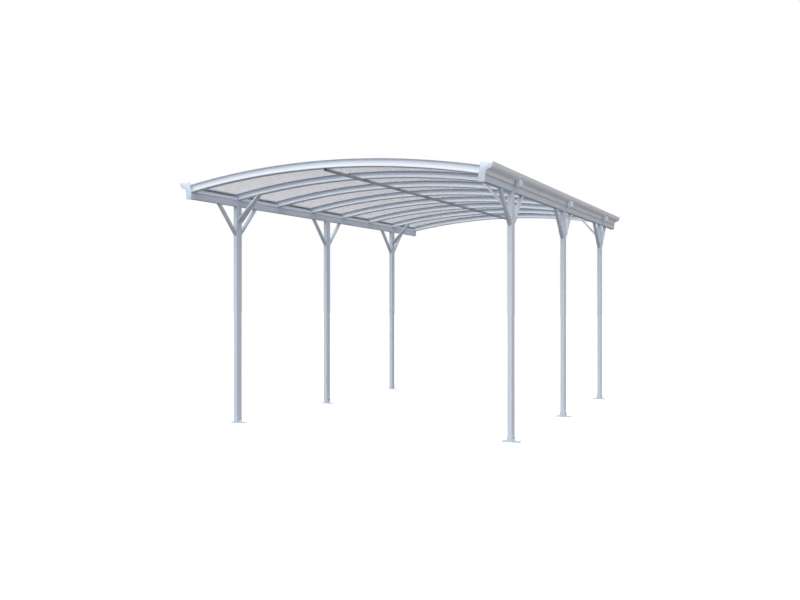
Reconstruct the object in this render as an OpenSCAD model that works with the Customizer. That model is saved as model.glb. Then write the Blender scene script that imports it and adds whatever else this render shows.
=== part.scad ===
// Open carport with an arched roof, in millimetres, standing on the ground plane.
// Six posts carry two gutter beams, eight arches span the beams, and curved panels lie between them.
// Left and right are as seen from the front, the end that faces -Y.

/* [Roof] */
// Height of the roof's crown above the ground
crown_height = 2345; // [2250:5:2700]
// Radius of the top of an arch
arch_radius = 7350; // [6800:50:9000]
// Distance from one arch to the next
bay_pitch = 700; // [600:5:850]
// Thickness of a roof panel
panel_thickness = 6; // [4:1:8]

/* [Arches] */
// Depth of an arch from its top to its underside
arch_depth = 61; // [58:1:75]
// Width of the flared lower edge of an arch
flare_width = 66; // [58:1:72]
// Width of an arch at its waist, under the flanges
waist_width = 26; // [20:1:32]
// Width of the flanges that hold the panels
flange_width = 54; // [48:1:64]
// Wall of the arch section
arch_wall = 2; // [1.6:0.1:2.6]

/* [Gutter beams] */
// Distance between the inner faces of the two beams
clear_span = 2716; // [2400:2:3000]
// Width of the box at the foot of a beam
box_width = 49; // [48:1:60]
// Height of the shelf that the arches rest on, above the beam's underside
shelf_height = 60; // [54:1:64]
// Wall of the beam section
beam_wall = 2.4; // [1.8:0.1:3]
// How far the lip of the gutter reaches out from the beam's inner face
lip_reach = 120; // [114:1:130]
// Height of the lip's rolled edge above the beam's underside
lip_height = 142; // [134:1:156]
// Length of a beam past the middle of the end arch
beam_overhang = 37; // [37:1:55]
// Thickness of a gutter end cap
cap_thickness = 8; // [4:1:12]
// Width of a gutter clip
clip_width = 44; // [30:1:50]
// Height of a gutter clip's hanging body
clip_drop = 62; // [50:1:66]
// Thickness of the trim strips in the recess of a beam
trim_thickness = 3; // [2:0.5:4]

/* [Posts] */
// Width of a post across the carport
post_width = 42; // [40:1:50]
// Depth of a post along the carport
post_depth = 86; // [72:1:90]
// Wall of a post
post_wall = 2.2; // [1.8:0.1:3]
// Radius of a post's outer corners
post_corner = 8; // [6:0.5:12]

/* [Feet] */
// Length of a foot plate across the carport
foot_length = 160; // [150:2:200]
// Width of a foot plate along the carport
foot_width = 88; // [80:2:96]
// Thickness of a foot plate
foot_thickness = 5; // [4:0.5:8]
// Height of the tabs that hold the post, from the ground
tab_height = 60; // [45:1:90]
// Distance between the two anchor holes of a foot
anchor_spacing = 120; // [116:2:130]
// Diameter of an anchor hole
anchor_hole = 11; // [8:0.5:13]

/* [Braces] */
// Depth of the tube of an eaves brace
brace_size = 30; // [26:1:36]
// Width of the tube of an eaves brace across the carport
brace_width = 38; // [30:1:38]
// Radius of the corners of an eaves brace's tube
brace_corner = 12; // [4:0.5:12]
// Wall of a brace
brace_wall = 2; // [1.5:0.1:2.5]
// Height from a brace's foot on the post to the beam's underside
brace_rise = 262; // [200:2:340]
// Distance from the post's face to a brace's head under the beam
brace_reach = 255; // [200:2:340]
// Drop of an arch brace's foot below the beam's underside
arch_brace_drop = 148; // [120:2:200]
// Slope of an arch brace
arch_brace_angle = 47.5; // [44:0.5:54]
// Width of an arch brace at the post
arch_brace_foot = 100; // [80:1:106]
// Width of an arch brace at the arch
arch_brace_head = 56; // [40:1:66]
// Thickness of an arch brace
arch_brace_thickness = 12; // [10:1:18]

/* [Purlin] */
// Width of the ridge purlin
purlin_width = 26; // [20:1:40]
// Height of the ridge purlin
purlin_height = 20; // [15:1:30]
// Wall of the ridge purlin
purlin_wall = 1.8; // [1.5:0.1:2.5]

/* [Hidden] */
// Facets of small rounds
round_fn = 48;
$fn = round_fn;
// Most facets that a full turn of the roof's curve is drawn with
curve_fn = 256;
// Room between pieces that lie against each other
seat = 0.15;
// Overlap of a cut past the face it opens
cut = 1;

bay_count = 7;
rows = ["front", "middle", "back"];
sides = ["left", "right"];
ends = ["front", "back"];

frame_colour = [0.79, 0.83, 0.88];
shade_colour = [0.62, 0.65, 0.70];
panel_colour = [0.83, 0.83, 0.86, 0.55];
cap_colour = [0.84, 0.90, 0.94];
clip_colour = [0.70, 0.82, 0.92];
trim_colour = [0.85, 0.84, 0.86];

// Arches, measured from their common centre line
arch_centre_z = crown_height - arch_radius;
arch_under_r = arch_radius - arch_depth;
flange_thickness = 3;
crown_cap = 5.7;
slot_height = panel_thickness + 2 * seat;
panel_seat = arch_depth - crown_cap - slot_height;
crown_h = arch_depth - crown_cap;
crown_ease = crown_cap / 2 - 0.4;
flange_h = panel_seat - flange_thickness;
stem_width = 8;
edge_height = 7;
edge_corner = 3;
flare_out = (flare_width - waist_width) / 2;
cove_r = (flange_width - waist_width) / 2;
waist_h = flange_h - cove_r;
// The outer edge of an end arch stands up past its crown
end_rise = 7;
end_edge = 3;
end_h = arch_depth + end_rise;
end_waist_h = end_h - end_edge - cove_r;
panel_r = arch_under_r + panel_seat + seat;
first_arch_y = -bay_count * bay_pitch / 2;

// Gutter beam, with u outward from its inner face and v up from its underside
beam_x = clear_span / 2;
ledge = 4;
lean_run = 21;
arch_end_x = beam_x + ledge - 2 * seat;
shelf_z = arc_z(arch_under_r, arch_end_x);
beam_z = shelf_z - shelf_height;
beam_half = -first_arch_y + beam_overhang;
upright_v = arc_z(panel_r, beam_x + ledge + lean_run + 1.2 * beam_wall) - seat - beam_z;
lean = lean_run / (upright_v - shelf_height);
groove_depth = 3;
groove_height = 7;
groove_v = shelf_height - 4;
floor_v = 92;
neck_foot = [box_width, 40];
neck_head = [box_width + 12, 82];
lip_foot = [lip_reach - 33, floor_v + 3];
lip_knee = [lip_reach - 5, floor_v + 8];
lip_tip = [lip_reach, lip_height];
lip_steps = 10;
bead_r = 3;
panel_end_x = beam_x + 50;

// Posts and their rows
post_x = beam_x + box_width / 2 - 1.5;
row_pitch = bay_pitch * 2.5;
post_face = post_x - post_width / 2;
foot_tab = 4;
tab_width = 50;
gusset_thickness = 5;

// Arch brace, from its foot on the post to where its middle line meets the arch
brace_foot = [post_face, beam_z - arch_brace_drop - arch_centre_z];
brace_dir = [-cos(arch_brace_angle), sin(arch_brace_angle)];
brace_near = brace_foot * brace_dir;
arch_brace_length = sqrt(brace_near * brace_near - brace_foot * brace_foot + arch_under_r * arch_under_r)
    - brace_near;
brace_head = brace_foot + arch_brace_length * brace_dir;

NODES = concat(
    [for (row = rows) for (side = sides) str("post_", row, "_", side)],
    [for (row = rows) for (side = sides) str("foot_", row, "_", side)],
    [for (row = rows) for (side = sides) str("braces_", row, "_", side)],
    [for (side = sides) str("gutter_beam_", side)],
    [for (end = ends) for (side = sides) str("gutter_cap_", end, "_", side)],
    [for (side = sides) str("gutter_trim_", side)],
    [for (side = sides) str("gutter_clips_", side)],
    [for (i = [0:bay_count]) arch_name(i)],
    [for (i = [1:bay_count]) str("roof_panel_", i)],
    ["ridge_purlin"]
);
node = "all";

function arc_z(r, x) = arch_centre_z + sqrt(r * r - x * x);
function arch_y(i) = first_arch_y + i * bay_pitch;
function arch_name(i) = i == 0 ? "front_arch" : i == bay_count ? "back_arch" : str("arch_", i + 1);
function row_y(row) = (row - 1) * row_pitch;
function wanted(name) = node == "all" || node == name;
function along(a, b, t) = a + (b - a) * t;
function unit(v) = v / norm(v);
function right_of(v) = [v[1], -v[0]];
// Points along an arc from angle a to angle b in n steps, from the given step on
function arc_points(middle, r, a, b, n, first = 0) = [
    for (k = [first:n]) middle + r * [cos(a + (b - a) * k / n), sin(a + (b - a) * k / n)]
];
// An outline's points on the other side of the x axis, in the order that closes it
function mirrored(points) = [
    for (k = [len(points) - 1:-1:0]) [points[k][0], -points[k][1]]
];
// The point a part t of the way up the curved outer face of the lip, moved out by d
function on_lip(t, d) =
    let (low = along(lip_foot, lip_knee, t), high = along(lip_knee, lip_tip, t))
    along(low, high, t) + d * right_of(unit(high - low));
// Points along the lip from part a to part b, moved out by d
function lip_points(a, b, d) = [for (k = [0:lip_steps]) on_lip(a + (b - a) * k / lip_steps, d)];
// How far out the inner face of the beam's leaning upright is at height v
function upright_u(v) = ledge + lean * (v - shelf_height);
// The point a part t of the way up the neck, moved out by d
function on_neck(t, d) = along(neck_foot, neck_head, t) + d * right_of(unit(neck_head - neck_foot));

// A rectangle about its middle with rounded corners
module rounded_rect(size, r) {
    square([size[0] - 2 * r, size[1]], center = true);
    square([size[0], size[1] - 2 * r], center = true);
    for (x = [-1, 1])
        for (y = [-1, 1])
            translate([x * (size[0] / 2 - r), y * (size[1] / 2 - r)])
                circle(r, $fn = round_fn);
}

// Copies that are built on the right side go to the side asked for
module to_side(side) {
    mirror([side == 0 ? 1 : 0, 0, 0])
        children();
}

// Copies that are built at the front go to the end asked for
module to_end(end) {
    mirror([0, end, 0])
        children();
}

// Sweeps a section, drawn as radius and length, over the roof's curve between x = -reach and reach
// The cut at each end leans out by run for each unit of height above the beams' shelf
module sweep_roof(reach, run) {
    half_angle = asin((reach + end_h * run) / arch_under_r) + 0.02;
    top = crown_height + end_rise + cut;
    low_x = reach - shelf_z * run;
    top_x = reach + (top - shelf_z) * run;
    // An even number of steps puts a corner of the drawn curve at the crown
    steps = 2 * floor(curve_fn * half_angle / 360);
    intersection() {
        translate([0, 0, arch_centre_z])
            rotate([-90, 0, 0])
                rotate([0, 0, -90 - half_angle])
                    rotate_extrude(angle = 2 * half_angle, $fn = floor(180 * steps / half_angle))
                        children();
        translate([0, bay_pitch, 0])
            rotate([90, 0, 0])
                linear_extrude(2 * bay_pitch)
                    polygon([[-low_x, 0], [low_x, 0], [top_x, top], [-top_x, top]]);
    }
}

// Raises a section drawn as u and v to its place on the right beam, from y0 over a length
module beam_run(y0, length) {
    translate([beam_x, y0 + length, beam_z])
        rotate([90, 0, 0])
            linear_extrude(length)
                children();
}

// One side of an arch up to height top: its lower edge, its flare, the waist at height mid and the cove above it
function stalk_side(inset, mid, top) =
    let (
        rise = mid - edge_height,
        flare_r = (rise * rise + flare_out * flare_out) / (2 * flare_out),
        middle_y = waist_width / 2 + flare_r,
        flare_turn = acos((middle_y - flare_width / 2 + inset) / (flare_r + inset)),
        cove_turn = asin((top - mid) / (cove_r + inset))
    )
    concat(
        arc_points([edge_corner, flare_width / 2 - edge_corner], edge_corner - inset, 180, 90, 3),
        arc_points([mid, middle_y], flare_r + inset, 270 - flare_turn, 270, 8),
        top == mid ? [] : arc_points([mid, waist_width / 2 + cove_r], cove_r + inset, 270, 270 + cove_turn, 6, 1)
    );

// One side of the slot between the two flanges
function slot_side() = [
    [panel_seat, flange_width / 2], [panel_seat, stem_width / 2], [crown_h, stem_width / 2]
];

// One side of the crown's eased edge
function crown_side() = concat(
    arc_points([crown_h + crown_ease, flange_width / 2 - crown_ease], crown_ease, 180, 90, 3),
    arc_points([arch_depth - crown_ease, flange_width / 2 - crown_ease], crown_ease, 90, 0, 3)
);

// The closed side of an end arch, up its coved face and over its raised edge
function closed_side() = concat(
    stalk_side(0, end_waist_h, end_h - end_edge),
    [
        [end_h - 1.5, flange_width / 2], [end_h, flange_width / 2 - 1.5],
        [end_h, flange_width / 2 - end_rise], [arch_depth, flange_width / 2 - 2 * end_rise]
    ]
);

// The arch section, with a slot for a panel on one side, and on the other unless it is closed
module arch_section(closed) {
    open_side = concat(stalk_side(0, waist_h, flange_h), slot_side(), crown_side());
    open_hollow = stalk_side(arch_wall, waist_h, flange_h);
    shut_hollow = stalk_side(arch_wall, flange_h, flange_h);
    difference() {
        polygon(concat(open_side, mirrored(closed ? closed_side() : open_side)));
        polygon(concat(open_hollow, mirrored(closed ? shut_hollow : open_hollow)));
    }
}

module arch(i) {
    color(frame_colour)
        translate([0, arch_y(i), 0])
            to_end(i == bay_count ? 1 : 0)
                sweep_roof(arch_end_x, lean)
                    translate([arch_under_r, 0])
                        arch_section(i == 0 || i == bay_count);
}

module roof_panel(i) {
    side_gap = stem_width / 2 + 2;
    color(panel_colour)
        translate([0, arch_y(i - 1), 0])
            sweep_roof(panel_end_x, 0)
                translate([panel_r, side_gap])
                    square([panel_thickness, bay_pitch - 2 * side_gap]);
}

// Outline of the beam's walls, from its inner lower corner round to the shelf and its groove
module beam_section() {
    w = beam_wall;
    back = 1.08 * w;
    floor_in = floor_v - w;
    shelf_in = shelf_height - w;
    groove_low = groove_v - groove_height;
    difference() {
        union() {
            polygon(concat(
                [[0, 0], [box_width, 0], neck_foot, neck_head, [neck_head[0] + 2, floor_in]],
                lip_points(0, 1, 0), lip_points(1, 0, -w),
                [
                    [neck_head[0], floor_v], [upright_u(floor_v) + back, floor_v],
                    [upright_u(upright_v) + back, upright_v], [upright_u(upright_v), upright_v],
                    [ledge, shelf_height], [0, shelf_height], [0, groove_v], [groove_depth, groove_v],
                    [groove_depth, groove_low], [0, groove_low]
                ]
            ));
            translate(lip_tip - [w / 2, 0])
                circle(bead_r);
        }
        polygon([
            [w, w], [box_width - w, w], neck_foot - [w, 0], neck_head - [w, 0],
            [neck_head[0] - w, floor_in], [upright_u(floor_in) + back, floor_in],
            [upright_u(shelf_in) + back, shelf_in], [w + groove_depth, shelf_in],
            [w + groove_depth, groove_low - w], [w, groove_low - w]
        ]);
    }
}

module gutter_beam(side) {
    color(frame_colour)
        to_side(side)
            beam_run(-beam_half, 2 * beam_half)
                beam_section();
}

// The cap follows the beam's outline, closes the gutter's end and plugs into the box
module gutter_cap(end, side) {
    rim = 1;
    skirt = 5;
    top_v = lip_height + bead_r;
    plug_room = 0.4;
    plug_depth = 18;
    plug = beam_wall + plug_room;
    color(cap_colour)
        to_end(end)
            to_side(side) {
                beam_run(-beam_half - cap_thickness, cap_thickness)
                    polygon(concat(
                        [
                            [-rim, -skirt], [box_width + rim, -skirt], neck_foot + [rim, 0], neck_head + [rim, 0],
                            [neck_head[0] + 2 + rim, floor_v - beam_wall - rim]
                        ],
                        lip_points(0, 1, rim),
                        [
                            lip_tip + [2.5, bead_r], lip_tip + [-7, bead_r + 1], [lip_reach - 24, top_v - 11],
                            [lip_reach - 34, top_v - 11], [lip_reach - 40, top_v], [ledge + 11, top_v],
                            [ledge + 3, floor_v], [-rim, groove_v - groove_height]
                        ]
                    ));
                beam_run(-beam_half - cut, plug_depth + cut)
                    translate([plug, plug])
                        square([box_width - 2 * plug, neck_foot[1] - 2 * plug]);
            }
}

// One strip for each bay, with a seam at every arch
module gutter_trim(side) {
    seam = 8;
    color(trim_colour)
        to_side(side)
            for (i = [0:bay_count - 1])
                beam_run(arch_y(i) + seam / 2, bay_pitch - seam)
                    polygon([
                        on_neck(0.28, seat), on_neck(0.28, trim_thickness),
                        on_neck(0.84, trim_thickness), on_neck(0.84, seat)
                    ]);
}

// A bracket that hangs under the gutter, with a narrow tongue up the face of the lip
module gutter_clips(side) {
    tongue_width = clip_width * 0.5;
    tongue_top = 0.8;
    shoulder = 0.35;
    wall = 4;
    floor_foot = [neck_head[0] + 2, floor_v - beam_wall];
    inner_top = along(floor_foot, lip_foot, 0.5) - [0, 2 * seat];
    foot_v = lip_foot[1] - clip_drop;
    inner_u = inner_top[0] + 4;
    outer_u = lip_reach + 1;
    corner = 7;
    color(clip_colour)
        to_side(side)
            for (row = [0:2]) {
                beam_run(row_y(row) - tongue_width / 2, tongue_width)
                    polygon(concat(lip_points(0, tongue_top, seat), lip_points(tongue_top, 0, wall)));
                beam_run(row_y(row) - clip_width / 2, clip_width)
                    polygon(concat(
                        [inner_top], lip_points(0, shoulder, seat),
                        [
                            on_lip(shoulder, wall), [outer_u, lip_foot[1] - 2 * corner], [outer_u, foot_v + corner],
                            [outer_u - corner, foot_v], [inner_u + corner, foot_v], [inner_u, foot_v + corner]
                        ]
                    ));
            }
}

module post(row, side) {
    inner = [post_width, post_depth] - 2 * [post_wall, post_wall];
    color(frame_colour)
        to_side(side)
            translate([post_x, row_y(row), foot_thickness])
                linear_extrude(beam_z - foot_thickness)
                    difference() {
                        rounded_rect([post_width, post_depth], post_corner);
                        rounded_rect(inner, post_corner - post_wall);
                    }
}

// A plate with an ear and an anchor hole to each side, and tabs with gussets that hold the post
module foot(row, side) {
    tab_x = post_width / 2 + seat;
    gusset_x = anchor_spacing / 2 - anchor_hole / 2 - 9;
    color(shade_colour)
        to_side(side)
            translate([post_x, row_y(row), 0]) {
                difference() {
                    linear_extrude(foot_thickness)
                        rounded_rect([foot_length, foot_width], 8);
                    for (s = [-1, 1])
                        translate([s * anchor_spacing / 2, 0, -cut])
                            cylinder(d = anchor_hole, h = foot_thickness + 2 * cut);
                }
                for (s = [0, 1])
                    mirror([s, 0, 0]) {
                        translate([tab_x, -tab_width / 2, foot_thickness - cut])
                            cube([foot_tab, tab_width, tab_height - foot_thickness + cut]);
                        translate([0, gusset_thickness / 2, 0])
                            rotate([90, 0, 0])
                                linear_extrude(gusset_thickness)
                                    polygon([
                                        [tab_x + cut, foot_thickness - cut], [gusset_x, foot_thickness - cut],
                                        [gusset_x, foot_thickness + 2], [tab_x + foot_tab, tab_height - 12],
                                        [tab_x + cut, tab_height - 12]
                                    ]);
                    }
            }
}

// The tube on the back face of a post, cut to the post and to the underside of the beam
module eaves_brace() {
    slope = atan2(brace_rise, brace_reach);
    run_on = 60;
    run = norm([brace_rise, brace_reach]) + 2 * run_on;
    outer = [brace_width, brace_size];
    intersection() {
        translate([0, post_depth / 2, beam_z - brace_rise])
            rotate([slope - 90, 0, 0])
                translate([0, 0, -run_on])
                    linear_extrude(run)
                        difference() {
                            rounded_rect(outer, brace_corner);
                            rounded_rect(outer - 2 * [brace_wall, brace_wall], brace_corner - brace_wall);
                        }
        translate([-brace_width, post_depth / 2, beam_z - 2 * brace_rise])
            cube([2 * brace_width, 2 * brace_reach, 2 * brace_rise]);
    }
}

// A tapered flat tube along +X from the origin, with its two ends run on
module arch_brace_bar(inset) {
    run_on = 80;
    spread = (arch_brace_head - arch_brace_foot) / arch_brace_length;
    foot_half = (arch_brace_foot - run_on * spread) / 2 - inset;
    head_half = (arch_brace_head + run_on * spread) / 2 - inset;
    thickness = arch_brace_thickness - 2 * inset;
    translate([0, 0, -thickness / 2])
        linear_extrude(thickness)
            polygon([
                [-run_on, -foot_half], [arch_brace_length + run_on, -head_half],
                [arch_brace_length + run_on, head_half], [-run_on, foot_half]
            ]);
}

// The brace from the inner face of a right corner post up to the underside of its arch
module arch_brace() {
    room = 400;
    intersection() {
        translate([post_face, 0, beam_z - arch_brace_drop])
            rotate([0, arch_brace_angle - 180, 0])
                difference() {
                    arch_brace_bar(0);
                    arch_brace_bar(brace_wall);
                }
        translate([brace_head[0], 0, brace_head[1] + arch_centre_z])
            rotate([0, atan2(brace_head[0], brace_head[1]), 0])
                translate([-room, -room, -2 * room - seat])
                    cube(2 * room);
        translate([0, -post_depth, 0])
            cube([post_face, 2 * post_depth, crown_height]);
    }
}

module braces(row, side) {
    color(frame_colour)
        to_side(side)
            translate([0, row_y(row), 0]) {
                for (s = [0, 1])
                    mirror([0, s, 0])
                        translate([post_x, 0, 0])
                            eaves_brace();
                if (row != 1)
                    arch_brace();
            }
}

module ridge_purlin() {
    length = 2 * (-first_arch_y + waist_width / 2);
    color(shade_colour)
        translate([0, length / 2, arch_centre_z + arch_under_r - purlin_height / 2 - seat])
            rotate([90, 0, 0])
                linear_extrude(length)
                    difference() {
                        square([purlin_width, purlin_height], center = true);
                        square([purlin_width - 2 * purlin_wall, purlin_height - 2 * purlin_wall], center = true);
                    }
}

for (row = [0:2])
    for (side = [0, 1]) {
        if (wanted(str("post_", rows[row], "_", sides[side]))) post(row, side);
        if (wanted(str("foot_", rows[row], "_", sides[side]))) foot(row, side);
        if (wanted(str("braces_", rows[row], "_", sides[side]))) braces(row, side);
    }
for (side = [0, 1]) {
    if (wanted(str("gutter_beam_", sides[side]))) gutter_beam(side);
    if (wanted(str("gutter_trim_", sides[side]))) gutter_trim(side);
    if (wanted(str("gutter_clips_", sides[side]))) gutter_clips(side);
    for (end = [0, 1])
        if (wanted(str("gutter_cap_", ends[end], "_", sides[side]))) gutter_cap(end, side);
}
for (i = [0:bay_count])
    if (wanted(arch_name(i))) arch(i);
for (i = [1:bay_count])
    if (wanted(str("roof_panel_", i))) roof_panel(i);
if (wanted("ridge_purlin")) ridge_purlin();
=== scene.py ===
"""Dresses the arched carport: finishes, twin-wall sheets, seals, fixings, floor, light and camera."""

import math

import bmesh
import bpy
from bpy.props import FloatProperty, FloatVectorProperty, IntProperty, PointerProperty
from mathutils import Matrix, Vector


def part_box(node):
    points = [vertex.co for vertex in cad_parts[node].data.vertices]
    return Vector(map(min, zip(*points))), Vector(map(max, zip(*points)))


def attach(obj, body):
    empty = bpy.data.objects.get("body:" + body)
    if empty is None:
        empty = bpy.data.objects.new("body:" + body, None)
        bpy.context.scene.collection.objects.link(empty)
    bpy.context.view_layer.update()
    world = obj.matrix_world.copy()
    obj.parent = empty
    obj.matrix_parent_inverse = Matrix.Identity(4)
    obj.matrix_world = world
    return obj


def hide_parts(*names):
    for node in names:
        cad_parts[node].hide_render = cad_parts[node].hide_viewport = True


bl_info = {
    "name": "Arched Carport Dresser",
    "version": (1, 0, 0),
    "blender": (4, 5, 0),
    "location": "View3D > Sidebar > Carport",
    "description": "Finishes, sheets, seals and fixings for an open carport with an arched roof",
    "category": "Object",
}

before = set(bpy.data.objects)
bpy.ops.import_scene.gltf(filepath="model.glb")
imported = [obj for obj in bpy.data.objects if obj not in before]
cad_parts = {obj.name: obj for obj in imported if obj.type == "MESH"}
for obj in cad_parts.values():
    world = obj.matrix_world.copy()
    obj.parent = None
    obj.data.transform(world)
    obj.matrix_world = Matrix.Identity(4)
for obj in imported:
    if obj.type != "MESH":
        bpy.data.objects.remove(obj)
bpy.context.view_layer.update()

SIDES = {"left": -1, "right": 1}
ROWS = ("front", "middle", "back")
ARCHES = ("front_arch", "arch_2", "arch_3", "arch_4", "arch_5", "arch_6", "arch_7", "back_arch")
PANELS = tuple(f"roof_panel_{bay}" for bay in range(1, 8))
SHEET_DEPTH = 0.006


def middle(node):
    """The middle of a CAD node's box."""
    low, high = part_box(node)
    return (low + high) / 2


def roof_circle():
    """Height of the roof's centre line and the radius of a panel's underside, from a panel's box."""
    low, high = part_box("roof_panel_1")
    rise = high.z - SHEET_DEPTH - low.z
    radius = (high.x * high.x + rise * rise) / (2 * rise)
    return high.z - SHEET_DEPTH - radius, radius


ROOF_Z, PANEL_R = roof_circle()
SHEET_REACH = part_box("roof_panel_1")[1].x
BEAM_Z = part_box("post_front_right")[1].z
BEAM_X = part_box("gutter_beam_right")[0].x
POST_X = middle("post_front_right").x
POST_HALF = (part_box("post_front_right")[1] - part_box("post_front_right")[0]) / 2
ARCH_Y = [middle(node).y for node in ARCHES]
ROW_Y = {row: middle(f"post_{row}_right").y for row in ROWS}

# The beam's section, outward from its inner face and up from its underside
BOX_TOP = 0.060
# Height over which the gutter's painted light sets in above the box
GUTTER_LIGHT_STEP = 0.012
UPRIGHT_HEAD_OUT = 0.025
EAVES_SEAL_SETBACK = 0.0015
SEAL_BEAD_END = 0.012
NECK_LEAN = math.atan2(0.012, 0.042)
LIP = (Vector((0.087, 0.095)), Vector((0.115, 0.100)), Vector((0.120, 0.142)))
CLIP_WALL = 0.004
CLIP_SCREW_PART = 0.52

# The braces at the head of a post
BRACE_RISE = 0.262
BRACE_REACH = 0.255
BRACE_HALF_WIDTH = 0.019
ARCH_BRACE_DROP = 0.148
ARCH_BRACE_SLOPE = math.radians(47.5)
ARCH_BRACE_HALF = 0.006

# Where the screws sit: along a brace, from the end of an arch brace and to each side, and on a foot's tabs
BRACE_SCREWS = (0.036, 0.066)
ARCH_BRACE_SCREW = 0.034
ARCH_BRACE_FOOT_SPREAD = 0.028
ARCH_BRACE_HEAD_SPREAD = 0.014
TAB_FACE = 0.02515
FOOT_SCREW_SPREAD = 0.015
FOOT_SCREW_Z = 0.040

# A screw's sink into its seat, and shares of its height and of its head
SCREW_SINK = 0.0001
SCREW_FLANK = 0.6
SCREW_DOME = 0.72
SOCKET_RIM = 0.22
SOCKET_DEPTH = 0.5
SOCKET_TAPER = 0.85

# The rubber in the trim, and the channel over a sheet's end
INSERT_DEPTH = 0.0026
INSERT_RIM = 0.0016
INSERT_SWELL = 1.5
INSERT_HEIGHT_SHARE = 0.96
GASKET_DEPTH = 0.0042
GASKET_RIM_SHARE = 0.25
GASKET_SWELL = 1.15
CLOSER_SETBACK = 0.0007
CLOSER_PLAY = 0.0004
CLOSER_EDGE = 0.0003
CLOSER_SHORTER = 0.05


def tint(name, description, default):
    """A colour setting."""
    return FloatVectorProperty(
        name=name, description=description, default=default, size=3, min=0, max=1, subtype="COLOR"
    )


def length(name, description, default):
    """A length setting in metres."""
    return FloatProperty(
        name=name,
        description=description,
        default=default,
        min=0,
        precision=4,
        unit="LENGTH",
        subtype="DISTANCE",
    )


def share(name, description, default):
    """A setting from nought to one."""
    return FloatProperty(
        name=name, description=description, default=default, min=0, max=1, subtype="FACTOR"
    )


class CarportFinish(bpy.types.PropertyGroup):
    """Colours and gloss of the carport's finishes."""

    paint: tint("Paint", "Powder coat of the frame", (0.69, 0.755, 0.86))
    paint_streak: tint("Paint streak", "Powder coat where die lines run", (0.64, 0.705, 0.81))
    # Painted light: the arches take a lighter copy of the frame's coat, standing for more light falling on
    # them
    bright: tint("Bright paint", "Powder coat of the arches", (0.73, 0.79, 0.88))
    lit_arch_streak: tint("Bright streak", "Powder coat of the arches where die lines run", (0.68, 0.74, 0.83))
    # Painted light: a lighter copy of the frame's coat on the gutters above the beams' boxes, standing for
    # the light they catch
    gutter: tint("Gutter paint", "Powder coat of the gutters, above the beams' boxes", (0.89, 0.93, 1.0))
    paint_gloss: share("Paint roughness", "Roughness of the powder coat", 0.42)
    purlin: tint("Purlin", "Mill finish of the ridge purlin", (0.38, 0.40, 0.45))
    sheet: tint("Sheet", "Twin-wall roof sheet", (0.24, 0.26, 0.34))
    sheet_cover: share("Sheet cover", "How much each skin of a sheet hides", 0.085)
    cap: tint("Cap", "Moulded gutter end caps", (0.72, 0.83, 0.95))
    trim: tint("Trim", "Trim strips of the gutter beams", (0.95, 0.94, 0.97))
    clip: tint("Clip", "Moulded gutter clips", (0.80, 0.90, 1.0))
    rubber: tint("Rubber", "Seals of the roof", (0.35, 0.36, 0.42))
    closer: tint("Closer", "Strips that close the sheets' ends", (0.72, 0.75, 0.79))
    steel: tint("Steel", "Screws of the clips, feet and purlin", (0.30, 0.31, 0.34))
    zinc: tint("Zinc", "Screws of the braces", (0.56, 0.58, 0.62))
    # Painted shade: how strongly ambient occlusion darkens the inner corners and recesses of the coats
    recess_shade: share("Crevice", "How much dust darkens the inner corners", 0.35)


class CarportSizes(bpy.types.PropertyGroup):
    """Sizes of the pieces that the dresser adds."""

    flutes: IntProperty(
        name="Flutes", description="Channels across a roof sheet", default=62, min=4, max=120
    )
    skin: length("Skin", "Wall of a roof sheet's skins and webs", 0.0007)
    sweep_steps: IntProperty(
        name="Sweep steps", description="Steps along the roof's curve", default=28, min=8
    )
    seal: length("Seal", "Radius of the seal beads beside the arches", 0.0012)
    seal_offset: length("Seal offset", "Distance of a seal bead from the middle of its arch", 0.0282)
    eaves_seal: length("Eaves seal", "Width of the seal strip under the sheets at the eaves", 0.022)
    eaves_seal_lip: length("Eaves seal lip", "Height of the lip of the seal strip at the eaves", 0.012)
    eaves_seal_depth: length("Eaves seal depth", "Thickness of the seal strip at the eaves", 0.0030)
    closer: length("Closer", "Depth of the strip that closes a sheet's ends", 0.016)
    closer_wall: length("Closer wall", "Wall of the strip that closes a sheet's ends", 0.0011)
    insert: length("Insert", "Width of the insert in a trim seam", 0.0115)
    gasket: length("Gasket", "Height of the gasket along the trim's lower edge", 0.0035)
    screw_head: length("Screw head", "Radius of a screw head", 0.0048)
    screw_height: length("Screw height", "Height of a screw head", 0.0034)
    washer: length("Washer", "Radius of the washer under a screw", 0.0068)
    washer_height: length("Washer height", "Thickness of the washer under a screw", 0.0012)
    moulding_edge: length("Moulding edge", "Rounding of the caps and clips", 0.0013)
    metal_edge: length("Metal edge", "Rounding of the feet and braces", 0.0008)


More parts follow.
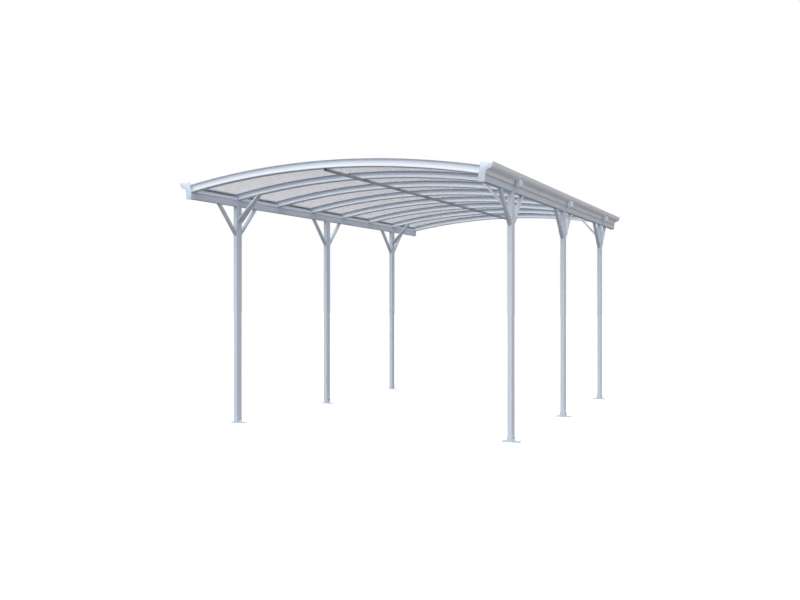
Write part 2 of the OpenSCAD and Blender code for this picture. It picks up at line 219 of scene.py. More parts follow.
class CarportStage(bpy.types.PropertyGroup):
    """Floor, light and camera."""

    floor_half: length("Floor", "Half of the floor's side", 60)
    floor: tint("Floor colour", "Pale floor", (0.86, 0.86, 0.86))
    floor_glow: share("Floor glow", "Light that lifts the floor to the backdrop's white", 0.45)
    backdrop: FloatProperty(name="Backdrop", description="Brightness of the backdrop", default=1.0, min=0)
    sky: FloatProperty(name="Sky", description="Soft light from above", default=0.60, min=0)
    ground: FloatProperty(name="Ground", description="Soft light from below", default=0.21, min=0)
    key: FloatProperty(name="Key", description="Strength of the key light", default=2.32, min=0)
    spread: FloatProperty(
        name="Spread",
        description="Width of the key and fill lights",
        default=math.radians(90),
        subtype="ANGLE",
    )
    key_from: FloatVectorProperty(
        name="Key from", description="Direction the key light comes from", default=(-0.10, -0.60, 0.78)
    )
    fill: FloatProperty(name="Fill", description="Strength of the fill light", default=0.31, min=0)
    fill_from: FloatVectorProperty(
        name="Fill from", description="Direction the fill light comes from", default=(0.90, -0.20, -0.25)
    )
    lens: FloatProperty(name="Lens", description="Focal length in millimetres", default=39.39, min=1)
    camera_at: FloatVectorProperty(
        name="Camera",
        description="Place of the camera",
        default=(3.61546, -8.80632, 1.189802),
        unit="LENGTH",
    )
    camera_turn: FloatProperty(
        name="Turn", description="Turn of the level camera", default=math.radians(24.799), subtype="ANGLE"
    )


def finish():
    """The colours and gloss in use."""
    return bpy.context.scene.carport_finish


def sizes():
    """The sizes in use."""
    return bpy.context.scene.carport_sizes


# Modelling by hand


def start_piece():
    """Leaves nothing selected, so the next operators act on the new piece alone."""
    if bpy.context.mode != "OBJECT":
        bpy.ops.object.mode_set(mode="OBJECT")
    bpy.ops.object.select_all(action="DESELECT")


def name_piece(name):
    """Names the piece that was just added, opens it for editing and hands it back."""
    piece = bpy.context.object
    piece.name = name
    piece.data.name = name
    bpy.ops.object.mode_set(mode="EDIT")
    return piece


def pick_faces(piece, wanted):
    """Selects the faces that pass a test, in edit mode."""
    bpy.ops.mesh.select_mode(type="FACE")
    bpy.ops.mesh.select_all(action="DESELECT")
    mesh = bmesh.from_edit_mesh(piece.data)
    for face in mesh.faces:
        face.select_set(wanted(face))
    bmesh.update_edit_mesh(piece.data)


def pick_all():
    """Selects the whole mesh, in edit mode."""
    bpy.ops.mesh.select_mode(type="FACE")
    bpy.ops.mesh.select_all(action="SELECT")


def close_piece(piece, angle=30):
    """Merges doubles, turns the faces outward, smooths the rounds and leaves edit mode."""
    pick_all()
    bpy.ops.mesh.remove_doubles(threshold=1e-6)
    bpy.ops.mesh.normals_make_consistent(inside=False)
    bpy.ops.object.mode_set(mode="OBJECT")
    bpy.ops.object.shade_smooth_by_angle(angle=math.radians(angle))
    return piece


def stand_across():
    """Turns a profile drawn flat, with x along the carport and y up, to stand across the roof's curve."""
    bpy.ops.transform.rotate(value=-math.pi / 2, orient_axis="X", center_override=(0, 0, 0))
    bpy.ops.transform.rotate(value=-math.pi / 2, orient_axis="Z", center_override=(0, 0, 0))


def sweep_over_roof(reach, radius):
    """Spins the selected profile, which stands at the crown, from eaves to eaves."""
    half = math.asin(reach / radius)
    centre = (0, 0, ROOF_Z)
    bpy.ops.transform.rotate(value=half, orient_axis="Y", center_override=centre)
    bpy.ops.mesh.spin(steps=sizes().sweep_steps, angle=-2 * half, center=centre, axis=(0, 1, 0))


def copy_piece(piece, name, matrix):
    """A copy of a piece with its own mesh, moved by a matrix."""
    twin = piece.copy()
    twin.data = piece.data.copy()
    twin.data.transform(matrix)
    twin.name = name
    twin.data.name = name
    bpy.context.collection.objects.link(twin)
    return twin


def join_pieces(pieces, name):
    """Joins pieces into one object that sits at the origin."""
    start_piece()
    for piece in pieces:
        piece.select_set(True)
    bpy.context.view_layer.objects.active = pieces[0]
    bpy.ops.object.join()
    pieces[0].name = name
    pieces[0].data.name = name
    return pieces[0]


def coat(piece, material):
    """Gives a piece its finish, and makes it part of the carport."""
    piece.data.materials.clear()
    piece.data.materials.append(material)
    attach(piece, "root")


def discard(piece):
    """Removes a pattern piece once its copies are made."""
    bpy.data.objects.remove(piece)


def apply_modifier(piece, kind, **settings):
    """Adds a modifier to the active piece and applies it."""
    modifier = piece.modifiers.new(kind.title(), kind)
    for key, value in settings.items():
        setattr(modifier, key, value)
    bpy.ops.object.modifier_apply(modifier=modifier.name)


def extrude_top(height, shrink=1.0):
    """Extrudes the selected faces up or down, and narrows them."""
    bpy.ops.mesh.extrude_region_move(TRANSFORM_OT_translate={"value": (0, 0, height)})
    if shrink != 1.0:
        bpy.ops.transform.resize(value=(shrink, shrink, 1), center_override=(0, 0, 0))


def eased_copy(node, radius):
    """A copy of a CAD node with its flats made whole and its edges rounded, which stands for the node."""
    start_piece()
    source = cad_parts[node]
    piece = copy_piece(source, f"{node}_eased", Matrix.Identity(4))
    piece.parent = None
    piece.select_set(True)
    bpy.context.view_layer.objects.active = piece
    bpy.ops.mesh.customdata_custom_splitnormals_clear()
    bpy.ops.object.mode_set(mode="EDIT")
    pick_all()
    bpy.ops.mesh.remove_doubles(threshold=1e-5)
    bpy.ops.mesh.dissolve_limited(angle_limit=math.radians(1))
    bpy.ops.object.mode_set(mode="OBJECT")
    apply_modifier(
        piece, "BEVEL", width=radius, segments=2, limit_method="ANGLE", angle_limit=math.radians(35)
    )
    bpy.ops.object.shade_smooth_by_angle(angle=math.radians(32))
    return piece


def on_roof(y, side, angle, radius):
    """The matrix that lays a piece on the roof's curve, with its x axis down the slope of one side."""
    place = Matrix.Translation((0, y, ROOF_Z))
    slope = Matrix.Rotation(side * angle, 4, "Y")
    rise = Matrix.Translation((0, 0, radius))
    spin = Matrix.Identity(4) if side > 0 else Matrix.Rotation(math.pi, 4, "Z")
    return place @ slope @ rise @ spin


def beam_place(out, up, y, side):
    """A point beside a beam, from its place in the beam's section."""
    return Vector((side * (BEAM_X + out), y, BEAM_Z + up))


def facing(point, normal):
    """The matrix that stands a piece on a point, with its axis along a normal."""
    turn = Vector(normal).to_track_quat("Z", "Y").to_matrix().to_4x4()
    return Matrix.Translation(point) @ turn


def on_lip(part):
    """A point of the gutter lip's outer face, part of the way up, and the way it faces."""
    low = LIP[0].lerp(LIP[1], part)
    high = LIP[1].lerp(LIP[2], part)
    run = (high - low).normalized()
    return low.lerp(high, part), Vector((run.y, -run.x))


# Finishes


def toned(colour, share_of):
    """A colour made darker or lighter by a share."""
    return tuple(share_of * c for c in colour)


class Shader:
    """One Principled material and short ways to add its nodes."""

    def __init__(self, name):
        self.material = bpy.data.materials.new(name)
        self.material.use_nodes = True
        self.tree = self.material.node_tree
        self.body = next(n for n in self.tree.nodes if n.type == "BSDF_PRINCIPLED")
        self.place = self.add("ShaderNodeTexCoord").outputs["Object"]

    def add(self, kind, **settings):
        node = self.tree.nodes.new(kind)
        for key, value in settings.items():
            setattr(node, key, value)
        return node

    def join(self, source, target):
        self.tree.links.new(source, target)

    def set(self, **values):
        for key, value in values.items():
            self.body.inputs[key.replace("_", " ")].default_value = value

    def stretched(self, scale):
        """Object coordinates with their own scale along each axis."""
        node = self.add("ShaderNodeMapping")
        node.inputs["Scale"].default_value = scale
        self.join(self.place, node.inputs["Vector"])
        return node.outputs["Vector"]

    def height(self):
        """The height over the ground."""
        node = self.add("ShaderNodeSeparateXYZ")
        self.join(self.place, node.inputs["Vector"])
        return node.outputs["Z"]

    def noise(self, scale, detail=3, vector=None, rough=0.5):
        node = self.add("ShaderNodeTexNoise")
        node.inputs["Scale"].default_value = scale
        node.inputs["Detail"].default_value = detail
        node.inputs["Roughness"].default_value = rough
        self.join(vector or self.place, node.inputs["Vector"])
        return node.outputs["Fac"]

    def die_lines(self, run, fine, coarse, detail):
        """Noise drawn out into lines along one axis."""
        scale = [fine, fine, fine]
        scale["XYZ".index(run)] = coarse
        return self.noise(1, detail, self.stretched(scale))

    def spread(self, value, low, high, out_low, out_high):
        """Maps a range of a value to another range, and holds it there."""
        node = self.add("ShaderNodeMapRange", clamp=True)
        ends = {"From Min": low, "From Max": high, "To Min": out_low, "To Max": out_high}
        for key, number in ends.items():
            node.inputs[key].default_value = number
        self.join(value, node.inputs["Value"])
        return node.outputs["Result"]

    def blend(self, amount, first, second, way="MIX"):
        """Mixes two colours, each a value or another node's output, by an amount."""
        node = self.add("ShaderNodeMix", data_type="RGBA", blend_type=way)
        sockets = {s.identifier: s for s in node.inputs}
        for socket, colour in (("A_Color", first), ("B_Color", second)):
            if isinstance(colour, bpy.types.NodeSocket):
                self.join(colour, sockets[socket])
            else:
                sockets[socket].default_value = (*colour, 1)
        if isinstance(amount, bpy.types.NodeSocket):
            self.join(amount, sockets["Factor_Float"])
        else:
            sockets["Factor_Float"].default_value = amount
        return next(s for s in node.outputs if s.identifier == "Result_Color")

    def recess_shade(self, distance, strength):
        """Painted shade: an ambient occlusion mask that is strong in inner corners and recesses, where shade
        falls.
        """
        node = self.add("ShaderNodeAmbientOcclusion", samples=6, only_local=True)
        node.inputs["Distance"].default_value = distance
        return self.spread(node.outputs["AO"], 0.35, 0.9, strength, 0)

    def bump(self, height, strength, distance, edge=0.0):
        """Surface relief, over edges that are eased by a small radius."""
        node = self.add("ShaderNodeBump")
        node.inputs["Strength"].default_value = strength
        node.inputs["Distance"].default_value = distance
        self.join(height, node.inputs["Height"])
        if edge:
            eased = self.add("ShaderNodeBevel", samples=4)
            eased.inputs["Radius"].default_value = edge
            self.join(eased.outputs["Normal"], node.inputs["Normal"])
        self.join(node.outputs["Normal"], self.body.inputs["Normal"])

    def colour(self, source):
        self.join(source, self.body.inputs["Base Color"])

    def roughness(self, source):
        self.join(source, self.body.inputs["Roughness"])


def powder_coat(name, colour, streak, run, recess=0.012, painted_light_above=None):
    """Satin powder coat on extruded aluminium, with die lines along one axis and painted shade darkening the
    recesses.

    A piece with painted light above has a lighter copy of the coat for its upper part, and the two heights
    between which it sets in.
    """
    look = Shader(name)
    lines = look.die_lines(run, 340, 1.6, 2)
    cloud = look.noise(1.7, 4)
    base = look.blend(look.spread(lines, 0.35, 0.7, 0, 0.8), colour, streak)
    mottle_and_painted_light = look.blend(look.spread(cloud, 0.35, 0.7, 0, 0.5), base, streak)
    # Painted light: the upper part of a piece blends to a lighter copy of its coat
    if painted_light_above:
        lit_tone, low, high = painted_light_above
        mottle_and_painted_light = look.blend(look.spread(look.height(), low, high, 0, 1), mottle_and_painted_light, lit_tone)
    # Painted shade: recesses blend by ambient occlusion towards a dark copy of the streak colour
    painted_shade = toned(streak, 0.35)
    look.colour(look.blend(look.recess_shade(recess, finish().recess_shade), mottle_and_painted_light, painted_shade))
    gloss = finish().paint_gloss
    look.roughness(look.spread(cloud, 0.3, 0.7, gloss - 0.07, gloss + 0.07))
    look.bump(look.noise(900, 2), 0.12, 0.0004, 0.0012)
    look.set(Coat_Weight=0.08, Coat_Roughness=0.3)
    return look.material


def mill_finish(name, colour, run):
    """Plain drawn aluminium with lengthwise lines."""
    look = Shader(name)
    lines = look.die_lines(run, 520, 2.2, 3)
    pale = tuple(min(1, 1.25 * c) for c in colour)
    look.colour(look.blend(look.spread(lines, 0.3, 0.75, 0, 1), colour, pale))
    look.roughness(look.spread(lines, 0.3, 0.7, 0.42, 0.58))
    look.bump(lines, 0.1, 0.0003, 0.0006)
    look.set(Metallic=0.35)
    return look.material


def moulded_plastic(name, colour, shade, roughness):
    """Moulded plastic with a fine spark-eroded grain and painted shade darkening its recesses."""
    look = Shader(name)
    cloud = look.noise(9, 3)
    base = look.blend(look.spread(cloud, 0.3, 0.7, 0, 1), colour, toned(colour, shade))
    # Painted shade: recesses blend by ambient occlusion towards a dark copy of the colour
    painted_shade = toned(colour, 0.45)
    look.colour(look.blend(look.recess_shade(0.01, finish().recess_shade), base, painted_shade))
    look.roughness(look.spread(look.noise(60, 2), 0.3, 0.7, roughness - 0.06, roughness + 0.08))
    look.bump(look.noise(1400, 2), 0.1, 0.0003, 0.0015)
    look.set(Coat_Weight=0.15, Coat_Roughness=0.2)
    return look.material


def twin_wall(name):
    """Clear polycarbonate skin with faint lines along the flutes and a light haze."""
    look = Shader(name)
    colour = tuple(finish().sheet)
    lines = look.die_lines("X", 260, 1.2, 2)
    haze = look.noise(2.4, 4)
    base = look.blend(look.spread(lines, 0.35, 0.7, 0, 1), colour, toned(colour, 0.92))
    look.colour(look.blend(look.spread(haze, 0.45, 0.75, 0, 0.4), base, toned(colour, 1.15)))
    look.roughness(look.spread(haze, 0.3, 0.7, 0.16, 0.30))
    look.bump(lines, 0.05, 0.0003)
    look.set(Alpha=finish().sheet_cover, IOR=1.58, Specular_IOR_Level=0.20)
    return look.material


def seal_rubber(name):
    """Matt grey seal with a talc bloom."""
    look = Shader(name)
    colour = tuple(finish().rubber)
    bloom = look.noise(35, 5)
    look.colour(look.blend(look.spread(bloom, 0.45, 0.8, 0, 0.5), colour, toned(colour, 2.2)))
    look.roughness(look.spread(bloom, 0.3, 0.7, 0.62, 0.82))
    look.bump(look.noise(700, 3), 0.25, 0.0004)
    return look.material


def screw_steel(name, colour):
    """Dull steel or zinc with turning marks."""
    look = Shader(name)
    marks = look.noise(1300, 3)
    look.colour(look.blend(look.spread(marks, 0.35, 0.7, 0, 1), colour, toned(colour, 0.6)))
    look.roughness(look.spread(marks, 0.3, 0.7, 0.32, 0.5))
    look.bump(marks, 0.15, 0.0002)
    look.set(Metallic=0.9)
    return look.material


# Pieces


class CARPORT_OT_finish_frame(bpy.types.Operator):
    """Coats the posts, feet, braces, beams, arches and purlin"""

    bl_idname = "carport.finish_frame"
    bl_label = "Finish Frame"

    def execute(self, context):
        paint, streak = tuple(finish().paint), tuple(finish().paint_streak)
        upright = powder_coat("post_paint", paint, streak, "Z")
        # Painted light: the arches get a lighter copy of the coat; their painted shade reaches wider, to
        # darken their coves
        bright, lit_arch_streak = tuple(finish().bright), tuple(finish().lit_arch_streak)
        # Painted light: the beams turn to a lighter copy of the coat above the top of their boxes
        box_top = BEAM_Z + BOX_TOP
        gutter = (tuple(finish().gutter), box_top, box_top + GUTTER_LIGHT_STEP)
        lengthwise = powder_coat("beam_coat_with_painted_light", paint, streak, "Y", painted_light_above=gutter)
        crosswise = powder_coat("arch_coat_with_painted_light", bright, lit_arch_streak, "X", recess=0.03)
        cast = powder_coat("foot_paint", paint, streak, "Z")
        drawn = mill_finish("purlin_finish", tuple(finish().purlin), "Y")
        for name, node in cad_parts.items():
            if name.startswith("post_"):
                self.recoat(node, upright)
            elif name.startswith("braces_"):
                self.ease(name, upright)
            elif name.startswith("foot_"):
                self.ease(name, cast)
            elif name.startswith("gutter_beam_"):
                self.recoat(node, lengthwise)
            elif name in ARCHES:
                self.recoat(node, crosswise)
            elif name == "ridge_purlin":
                self.recoat(node, drawn)
        return {"FINISHED"}

    def recoat(self, node, material):
        for slot in node.material_slots:
            slot.material = material

    def ease(self, node, material):
        piece = eased_copy(node, sizes().metal_edge)
        coat(piece, material)
        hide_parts(node)


class CARPORT_OT_finish_mouldings(bpy.types.Operator):
    """Rounds the edges of the gutter caps and clips and gives them and the trim their moulded finish"""

    bl_idname = "carport.finish_mouldings"
    bl_label = "Finish Mouldings"

    def execute(self, context):
        looks = {
            "cap": moulded_plastic("cap_plastic", tuple(finish().cap), 0.93, 0.34),
            "trim": moulded_plastic("trim_plastic", tuple(finish().trim), 0.94, 0.45),
            "clip": moulded_plastic("clip_plastic", tuple(finish().clip), 0.9, 0.36),
        }
        for side in SIDES:
            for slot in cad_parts[f"gutter_trim_{side}"].material_slots:
                slot.material = looks["trim"]
            self.ease(f"gutter_clips_{side}", looks["clip"], "clip")
            for end in ("front", "back"):
                self.ease(f"gutter_cap_{end}_{side}", looks["cap"], "cap")
        return {"FINISHED"}

    def ease(self, node, material, slot):
        piece = eased_copy(node, sizes().moulding_edge)
        coat(piece, material)
        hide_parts(node)


class CARPORT_OT_trim_inserts(bpy.types.Operator):
    """Models the ribbed insert of a trim seam and the gasket under the trim, and sets them"""

    bl_idname = "carport.trim_inserts"
    bl_label = "Trim Inserts"

    def execute(self, context):
        material = seal_rubber("insert_rubber")
        low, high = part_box("gutter_trim_right")
        pattern = self.model_insert(low, high)
        gasket = self.model_gasket(low, high)
        out, up = (low.x + high.x) / 2, (low.z + high.z) / 2
        for name, side in SIDES.items():
            lean = Matrix.Rotation(side * NECK_LEAN, 4, "Y")
            inserts = []
            for y in ARCH_Y[1:-1]:
                place = Matrix.Translation((side * out, y, up)) @ lean
                inserts.append(copy_piece(pattern, "insert", place))
            coat(join_pieces(inserts, f"trim_inserts_{name}"), material)
            place = Matrix.Translation((side * out, 0, up)) @ lean
            edge = Matrix.Translation((0, 0, (sizes().gasket - high.z + low.z) / 2))
            coat(copy_piece(gasket, f"trim_gasket_{name}", place @ edge), material)
        discard(pattern)
        discard(gasket)
        return {"FINISHED"}

    def model_gasket(self, low, high):
        height = sizes().gasket
        size = (GASKET_DEPTH, high.y - low.y, height)
        return self.model_pad("gasket_pattern", size, height * GASKET_RIM_SHARE, GASKET_SWELL)

    def model_insert(self, low, high):
        size = (INSERT_DEPTH, sizes().insert, (high.z - low.z) * INSERT_HEIGHT_SHARE)
        return self.model_pad("insert_pattern", size, INSERT_RIM, INSERT_SWELL)

    def model_pad(self, name, size, rim, swell):
        """A block of rubber that swells inside a rim on its two broad sides."""
        start_piece()
        bpy.ops.mesh.primitive_cube_add(size=1)
        pad = name_piece(name)
        pick_all()
        bpy.ops.transform.resize(value=size)
        pick_faces(pad, lambda face: abs(face.normal.x) > 0.9)
        bpy.ops.mesh.inset(thickness=rim)
        bpy.ops.transform.resize(value=(swell, 1, 1), center_override=(0, 0, 0))
        return close_piece(pad)


class CARPORT_OT_roof_sheets(bpy.types.Operator):
    """Models a twin-wall sheet with its flutes from gutter to gutter, and lays one in each bay"""

    bl_idname = "carport.roof_sheets"
    bl_label = "Roof Sheets"

    def execute(self, context):
        material = twin_wall("twin_wall_sheet")
        pattern = self.model_sheet()
        first = middle(PANELS[0]).y
        for bay, node in enumerate(PANELS, 1):
            shift = Matrix.Translation((0, middle(node).y - first, 0))
            sheet = copy_piece(pattern, f"twin_wall_sheet_{bay}", shift)
            coat(sheet, material)
            sheet.visible_shadow = False
            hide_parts(node)
        discard(pattern)
        return {"FINISHED"}

    def model_sheet(self):
        low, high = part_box(PANELS[0])
        skin = sizes().skin
        start_piece()
        bpy.ops.mesh.primitive_grid_add(x_subdivisions=sizes().flutes, y_subdivisions=1, size=1)
        sheet = name_piece("sheet_pattern")
        pick_all()
        bpy.ops.transform.resize(value=(high.y - low.y, SHEET_DEPTH, 1))
        bpy.ops.mesh.inset(use_individual=True, thickness=skin / 2)
        bpy.ops.mesh.delete(type="FACE")
        pick_all()
        stand_across()
        bpy.ops.transform.translate(value=(0, (low.y + high.y) / 2, high.z - SHEET_DEPTH / 2))
        sweep_over_roof(SHEET_REACH, PANEL_R + SHEET_DEPTH)
        return close_piece(sheet)


class CARPORT_OT_roof_seals(bpy.types.Operator):
    """Lays a seal bead over and under the sheet along each arch's edges"""

    bl_idname = "carport.roof_seals"
    bl_label = "Roof Seals"

    def execute(self, context):
        material = seal_rubber("arch_seal_rubber")
        proud = 0.6 * sizes().seal
        under = self.model_bead("under_bead", PANEL_R - proud)
        over = self.model_bead("over_bead", PANEL_R + SHEET_DEPTH + proud)
        for node, y in zip(ARCHES, ARCH_Y):
            beads = []
            for way in (-1, 1):
                if not ARCH_Y[0] < y + way * sizes().seal_offset < ARCH_Y[-1]:
                    continue
                shift = Matrix.Translation((0, y + way * sizes().seal_offset, 0))
                beads += [copy_piece(bead, "bead", shift) for bead in (under, over)]
            coat(join_pieces(beads, f"{node}_seals"), material)
        discard(under)
        discard(over)
        return {"FINISHED"}

    def model_bead(self, name, radius):
        start_piece()
        bpy.ops.mesh.primitive_circle_add(vertices=8, radius=sizes().seal, fill_type="NGON")
        bead = name_piece(name)
        pick_all()
        stand_across()
        bpy.ops.transform.translate(value=(0, 0, ROOF_Z + radius))
        sweep_over_roof(BEAM_X + SEAL_BEAD_END, radius)
        return close_piece(bead, 60)


class CARPORT_OT_eaves_seals(bpy.types.Operator):
    """Models the seal with a lip on the head of a beam's upright, and lays one under each sheet's ends"""

    bl_idname = "carport.eaves_seals"
    bl_label = "Eaves Seals"

    def execute(self, context):
        material = seal_rubber("eaves_seal_rubber")
        radius = PANEL_R - sizes().eaves_seal_depth / 2
        outer = math.asin((BEAM_X + UPRIGHT_HEAD_OUT - EAVES_SEAL_SETBACK) / PANEL_R)
        angle = outer - sizes().eaves_seal / 2 / PANEL_R
        pattern = self.model_strip()
        for name, side in SIDES.items():
            strips = []
            for near, far in zip(ARCH_Y, ARCH_Y[1:]):
                place = on_roof((near + far) / 2, side, angle, radius)
                strips.append(copy_piece(pattern, "strip", place))
            coat(join_pieces(strips, f"eaves_seal_{name}"), material)
        discard(pattern)
        return {"FINISHED"}

    def model_strip(self):
        width, depth = sizes().eaves_seal, sizes().eaves_seal_depth
        run = ARCH_Y[1] - ARCH_Y[0] - 2 * sizes().seal_offset
        start_piece()
        bpy.ops.mesh.primitive_cube_add(size=1)
        strip = name_piece("eaves_seal_pattern")
        pick_all()
        bpy.ops.transform.resize(value=(width, run, depth))
        lip_from = width / 2 - depth
        bpy.ops.mesh.bisect(plane_co=(lip_from, 0, 0), plane_no=(1, 0, 0))
        pick_faces(strip, lambda face: face.normal.z < -0.9 and face.calc_center_median().x > lip_from)
        extrude_top(-sizes().eaves_seal_lip)
        return close_piece(strip)


class CARPORT_OT_sheet_closers(bpy.types.Operator):
    """Models the channel that closes a sheet's end, and slides one over both ends of each sheet"""

    bl_idname = "carport.sheet_closers"
    bl_label = "Sheet Closers"

    def execute(self, context):
        material = mill_finish("closer_finish", tuple(finish().closer), "Y")
        pattern = self.model_channel()
        radius = PANEL_R + SHEET_DEPTH / 2
        angle = math.asin((SHEET_REACH - CLOSER_SETBACK) / radius)
        for name, side in SIDES.items():
            channels = []
            for node in PANELS:
                place = on_roof(middle(node).y, side, angle, radius)
                channels.append(copy_piece(pattern, "channel", place))
            coat(join_pieces(channels, f"sheet_closers_{name}"), material)
        discard(pattern)
        return {"FINISHED"}

    def model_channel(self):
        low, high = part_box(PANELS[0])
        run = high.y - low.y - CLOSER_SHORTER
        gap = SHEET_DEPTH + CLOSER_PLAY
        start_piece()
        bpy.ops.mesh.primitive_cube_add(size=1)
        channel = name_piece("closer_pattern")
        pick_all()
        bpy.ops.transform.resize(value=(sizes().closer, run, gap))
        bpy.ops.transform.translate(value=(-sizes().closer / 2, 0, 0))
        pick_faces(channel, lambda face: face.normal.x < -0.9 or abs(face.normal.y) > 0.9)
        bpy.ops.mesh.delete(type="FACE")
        pick_all()
        bpy.ops.mesh.normals_make_consistent(inside=False)
        bpy.ops.object.mode_set(mode="OBJECT")
        apply_modifier(channel, "SOLIDIFY", thickness=sizes().closer_wall, offset=1, use_even_offset=True)
        apply_modifier(channel, "BEVEL", width=CLOSER_EDGE, segments=1, limit_method="ANGLE")
        bpy.ops.object.shade_smooth_by_angle(angle=math.radians(30))
        return channel


class CARPORT_OT_screws(bpy.types.Operator):
    """Models one screw on its washer, and sets the screws of the feet, braces, clips and purlin"""

    bl_idname = "carport.screws"
    bl_label = "Screws"

    def execute(self, context):
        steel = screw_steel("screw_steel", tuple(finish().steel))
        zinc = screw_steel("screw_zinc", tuple(finish().zinc))
        pattern = self.model_screw()
        groups = {
            "foot_screws": (steel, self.foot_places()),
            "brace_screws": (zinc, self.brace_places()),
            "arch_brace_screws": (zinc, self.arch_brace_places()),
            "clip_screws": (steel, self.clip_places()),
            "purlin_screws": (steel, self.purlin_places()),
        }
        for name, (material, places) in groups.items():
            screws = [copy_piece(pattern, "screw", facing(point, normal)) for point, normal in places]
            coat(join_pieces(screws, name), material)
        discard(pattern)
        return {"FINISHED"}

    def model_screw(self):
        size = sizes()
        start_piece()
        bpy.ops.mesh.primitive_cylinder_add(vertices=12, radius=size.washer, depth=size.washer_height)
        screw = name_piece("screw_pattern")
        pick_all()
        bpy.ops.transform.translate(value=(0, 0, size.washer_height / 2 - SCREW_SINK))
        pick_faces(screw, lambda face: face.normal.z > 0.9)
        bpy.ops.mesh.inset(thickness=size.washer - size.screw_head)
        extrude_top(size.screw_height * SCREW_FLANK)
        extrude_top(size.screw_height * (1 - SCREW_FLANK), SCREW_DOME)
        bpy.ops.mesh.inset(thickness=size.screw_head * SOCKET_RIM)
        extrude_top(-size.screw_height * SOCKET_DEPTH, SOCKET_TAPER)
        return close_piece(screw)

    def foot_places(self):
        places = []
        for side in SIDES.values():
            for y in ROW_Y.values():
                for way in (-1, 1):
                    for shift in (-FOOT_SCREW_SPREAD, FOOT_SCREW_SPREAD):
                        point = (side * POST_X + way * TAB_FACE, y + shift, FOOT_SCREW_Z)
                        places.append((point, (way, 0, 0)))
        return places

    def brace_places(self):
        places = []
        run = Vector((BRACE_REACH, BRACE_RISE)).normalized()
        for side in SIDES.values():
            for y in ROW_Y.values():
                for end in (-1, 1):
                    for step in BRACE_SCREWS:
                        along = y + end * (POST_HALF.y + step * run.x)
                        up = BEAM_Z - BRACE_RISE + step * run.y
                        for way in (-1, 1):
                            point = (side * POST_X + way * BRACE_HALF_WIDTH, along, up)
                            places.append((point, (way, 0, 0)))
        return places

    def arch_brace_places(self):
        places = []
        cos, sin = math.cos(ARCH_BRACE_SLOPE), math.sin(ARCH_BRACE_SLOPE)
        face_x = POST_X - POST_HALF.x
        head = (face_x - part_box("braces_front_right")[0].x) / cos
        pairs = (
            (ARCH_BRACE_SCREW, ARCH_BRACE_FOOT_SPREAD),
            (head - ARCH_BRACE_SCREW, ARCH_BRACE_HEAD_SPREAD),
        )
        for side in SIDES.values():
            for row in ("front", "back"):
                for step, spread in pairs:
                    for way in (-1, 1):
                        x = face_x - step * cos - ARCH_BRACE_HALF * sin
                        z = BEAM_Z - ARCH_BRACE_DROP + step * sin - ARCH_BRACE_HALF * cos
                        places.append(((side * x, ROW_Y[row] + way * spread, z), (-side * sin, 0, -cos)))
        return places

    def clip_places(self):
        point, normal = on_lip(CLIP_SCREW_PART)
        point = point + normal * CLIP_WALL
        return [
            (beam_place(point.x, point.y, y, side), (side * normal.x, 0, normal.y))
            for side in SIDES.values()
            for y in ROW_Y.values()
        ]

    def purlin_places(self):
        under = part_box("ridge_purlin")[0].z
        return [((0, y, under), (0, 0, -1)) for y in ARCH_Y]


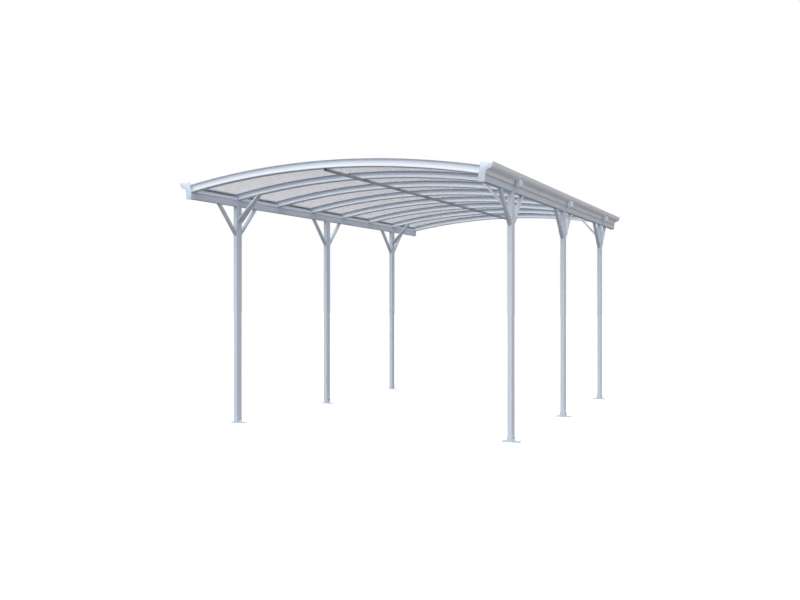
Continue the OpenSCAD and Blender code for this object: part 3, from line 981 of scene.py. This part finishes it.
class CARPORT_OT_stage(bpy.types.Operator):
    """Sets the floor, the soft light and the camera"""

    bl_idname = "carport.stage"
    bl_label = "Stage"

    def execute(self, context):
        stage = context.scene.carport_stage
        self.lay_floor(stage)
        self.light(context, stage)
        camera = bpy.data.objects.new("camera", bpy.data.cameras.new("camera"))
        camera.data.sensor_width = 36
        camera.data.lens = stage.lens
        camera.data.clip_end = 500
        camera.location = stage.camera_at
        camera.rotation_euler = (math.pi / 2, 0, stage.camera_turn)
        context.collection.objects.link(camera)
        context.scene.camera = camera
        context.scene.view_settings.view_transform = "Standard"
        context.scene.view_settings.look = "None"
        context.scene.cycles.transparent_max_bounces = 48
        return {"FINISHED"}

    def lay_floor(self, stage):
        start_piece()
        bpy.ops.mesh.primitive_plane_add(size=2 * stage.floor_half)
        floor = bpy.context.object
        floor.name = "floor"
        look = Shader("pale_floor")
        pale = tuple(stage.floor)
        look.colour(look.blend(look.noise(0.8, 3), pale, toned(pale, 0.98)))
        look.set(Roughness=0.9, Emission_Color=(1, 1, 1, 1), Emission_Strength=stage.floor_glow)
        floor.data.materials.append(look.material)
        floor.visible_diffuse = False
        floor.visible_glossy = False
        floor.visible_shadow = False

    def light(self, context, stage):
        world = bpy.data.worlds.new("studio")
        context.scene.world = world
        world.use_nodes = True
        tree = world.node_tree
        soft = tree.nodes["Background"]
        place = tree.nodes.new("ShaderNodeTexCoord")
        parts = tree.nodes.new("ShaderNodeSeparateXYZ")
        tree.links.new(place.outputs["Generated"], parts.inputs["Vector"])
        rise = tree.nodes.new("ShaderNodeMapRange")
        ends = {"From Min": -0.25, "From Max": 0.25, "To Min": stage.ground, "To Max": stage.sky}
        for key, number in ends.items():
            rise.inputs[key].default_value = number
        tree.links.new(parts.outputs["Z"], rise.inputs["Value"])
        tree.links.new(rise.outputs["Result"], soft.inputs["Strength"])
        soft.inputs["Color"].default_value = (1, 1, 1, 1)
        backdrop = tree.nodes.new("ShaderNodeBackground")
        backdrop.inputs["Color"].default_value = (1, 1, 1, 1)
        backdrop.inputs["Strength"].default_value = stage.backdrop
        path = tree.nodes.new("ShaderNodeLightPath")
        choice = tree.nodes.new("ShaderNodeMixShader")
        tree.links.new(path.outputs["Is Camera Ray"], choice.inputs["Fac"])
        tree.links.new(soft.outputs["Background"], choice.inputs[1])
        tree.links.new(backdrop.outputs["Background"], choice.inputs[2])
        tree.links.new(choice.outputs["Shader"], tree.nodes["World Output"].inputs["Surface"])
        self.sun(context, "key", stage.key, stage.spread, stage.key_from)
        self.sun(context, "fill", stage.fill, stage.spread, stage.fill_from)

    def sun(self, context, name, energy, spread, direction):
        light = bpy.data.objects.new(name, bpy.data.lights.new(name, "SUN"))
        light.data.energy = energy
        light.data.angle = spread
        light.rotation_euler = Vector(direction).to_track_quat("Z", "Y").to_euler()
        context.collection.objects.link(light)


class CARPORT_PT_pieces(bpy.types.Panel):
    """Lists the carport's settings and its pieces"""

    bl_label = "Arched Carport"
    bl_idname = "CARPORT_PT_pieces"
    bl_space_type = "VIEW_3D"
    bl_region_type = "UI"
    bl_category = "Carport"

    def draw(self, context):
        for name in GROUPS:
            group = getattr(context.scene, name)
            box = self.layout.box()
            for key in group.__annotations__:
                box.prop(group, key)
        for operator in OPERATORS:
            self.layout.operator(operator.bl_idname)


GROUPS = {"carport_finish": CarportFinish, "carport_sizes": CarportSizes, "carport_stage": CarportStage}
OPERATORS = (
    CARPORT_OT_stage,
    CARPORT_OT_finish_frame,
    CARPORT_OT_finish_mouldings,
    CARPORT_OT_trim_inserts,
    CARPORT_OT_roof_sheets,
    CARPORT_OT_sheet_closers,
    CARPORT_OT_roof_seals,
    CARPORT_OT_eaves_seals,
    CARPORT_OT_screws,
)


def register():
    for name, group in GROUPS.items():
        bpy.utils.register_class(group)
        setattr(bpy.types.Scene, name, PointerProperty(type=group))
    for operator in OPERATORS:
        bpy.utils.register_class(operator)
    bpy.utils.register_class(CARPORT_PT_pieces)


def unregister():
    bpy.utils.unregister_class(CARPORT_PT_pieces)
    for operator in reversed(OPERATORS):
        bpy.utils.unregister_class(operator)
    for name, group in reversed(GROUPS.items()):
        delattr(bpy.types.Scene, name)
        bpy.utils.unregister_class(group)


def main():
    """Builds every piece in order."""
    register()
    bpy.ops.carport.stage()
    bpy.ops.carport.finish_frame()
    bpy.ops.carport.finish_mouldings()
    bpy.ops.carport.trim_inserts()
    bpy.ops.carport.roof_sheets()
    bpy.ops.carport.sheet_closers()
    bpy.ops.carport.roof_seals()
    bpy.ops.carport.eaves_seals()
    bpy.ops.carport.screws()


if __name__ == "__main__":
    main()
